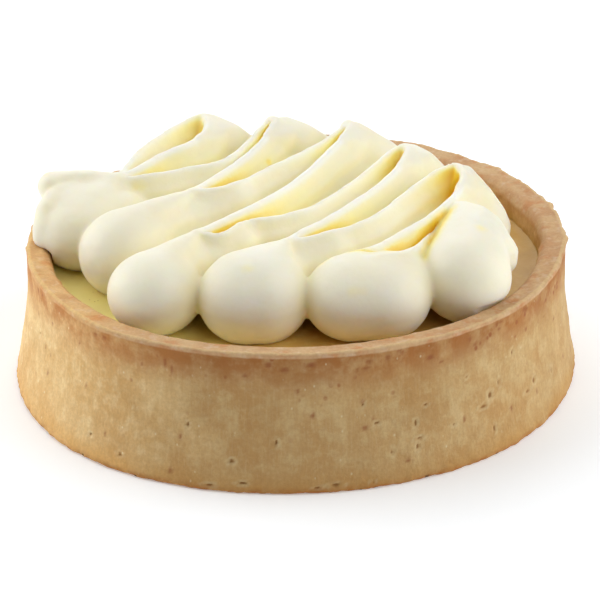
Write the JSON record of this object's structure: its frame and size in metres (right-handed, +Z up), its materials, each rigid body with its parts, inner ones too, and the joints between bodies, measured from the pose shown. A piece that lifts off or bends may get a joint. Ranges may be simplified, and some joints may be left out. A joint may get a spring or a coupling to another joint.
{
  "type": "key lime tartlet",
  "caption": "Small round key lime tart: straight-sided shortcrust case, yellow curd filling and one zigzag of piped cream with round bulbs in front and hooded folds behind.",
  "frame": {"origin": "centre of the pastry case's flat underside", "axes": "+Z up through the filling and cream; the round cream bulbs face -Y, the folds' hooded turns face +Y and +X"},
  "size_m": [0.0841, 0.0839, 0.0304],
  "materials": {
    "pastry": "baked shortcrust, dry, finely grained and matte",
    "curd": "set lime curd, smooth with a soft shine",
    "cream": "smooth piped cream, ivory, faintly glossy and translucent"
  },
  "bodies": {
    "root": {"crust": "pastry", "filling": "curd", "cream": "cream"}
  },
  "joints": []
}
